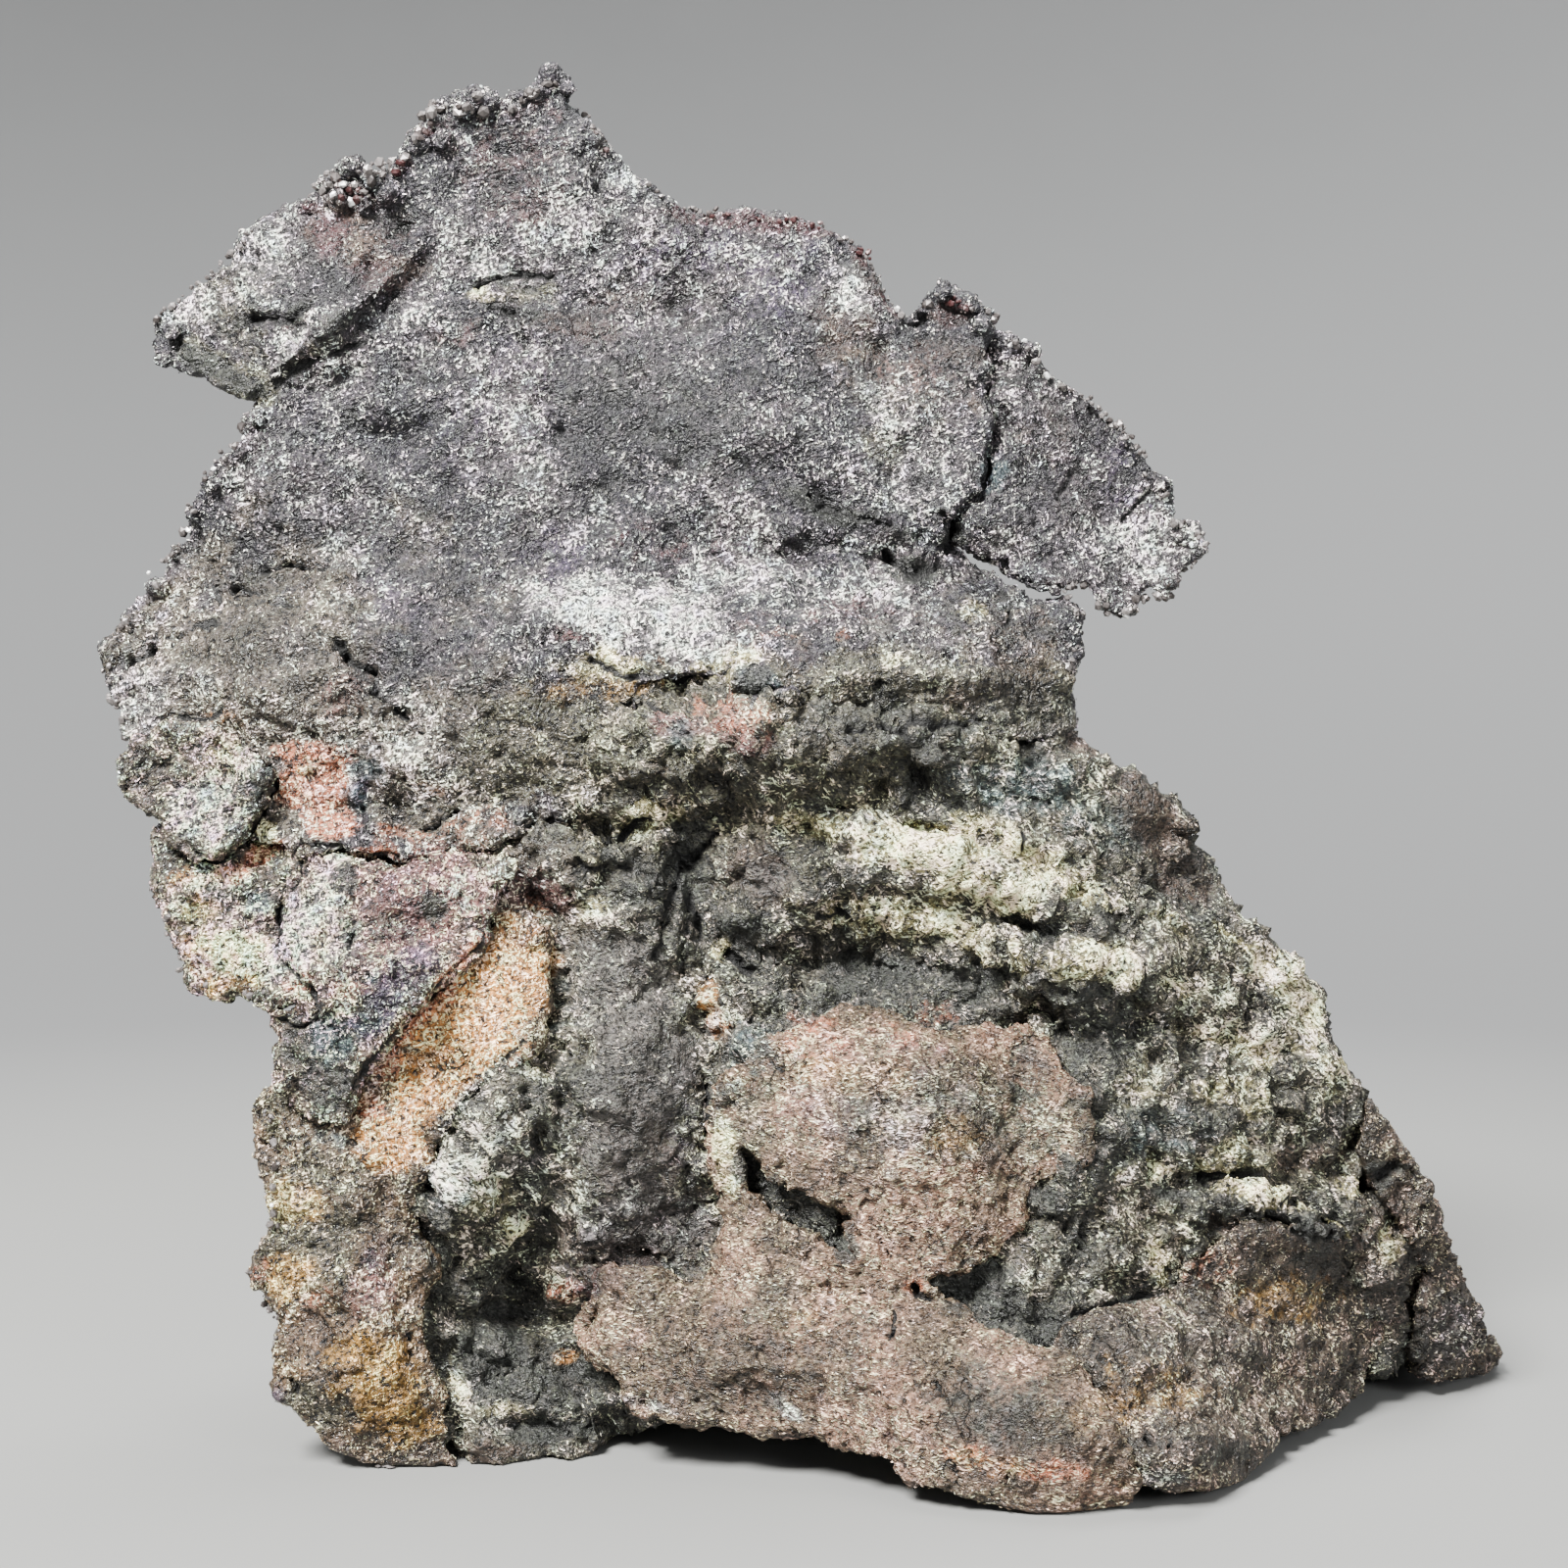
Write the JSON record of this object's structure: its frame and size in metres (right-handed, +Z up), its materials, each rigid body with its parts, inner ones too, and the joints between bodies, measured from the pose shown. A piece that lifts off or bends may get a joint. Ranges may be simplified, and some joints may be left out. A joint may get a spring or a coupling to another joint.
{
  "type": "native silver on matrix specimen",
  "caption": "Standing sheet of matted silver crystals with a torn wing and lapped silver leaves, grown on a flat-based wedge of dark rock.",
  "frame": {"origin": "middle of the specimen's footprint box, on the surface it stands on", "axes": "+Z up; +X to the right along the sheet; +Y from the silver front towards the rock's back"},
  "size_m": [0.1964, 0.098, 0.1839],
  "materials": {
    "rock": "rough greenish black rock with whitish green mottles",
    "grey_silver": "matted silver crystals, tarnished grey with bright flecks",
    "grey_silver_wing": "matted silver crystals, tarnished grey with bright flecks",
    "pale_silver_curl": "matted silver crystals, pale greenish grey",
    "pale_silver_outer": "matted silver crystals, pale with a yellow tarnish",
    "pink_silver": "matted silver crystals, white and pink tarnish over grey",
    "gold_silver": "matted silver crystals with golden and copper tarnish",
    "brown_silver": "matted silver crystals, brown tarnish",
    "dark_silver": "matted silver crystals, dark brown tarnish",
    "dark_silver_toe": "dark brown and greenish tarnished crystals"
  },
  "bodies": {
    "root": {"matrix": "rock", "main_sheet": "grey_silver", "right_wing": "grey_silver_wing", "left_curl": "pale_silver_curl", "outer_left_leaf": "pale_silver_outer", "left_leaf": "pink_silver", "lower_left_leaf": "gold_silver", "brown_leaf": "brown_silver", "lower_right_leaf": "dark_silver", "right_toe": "dark_silver_toe"}
  },
  "joints": []
}
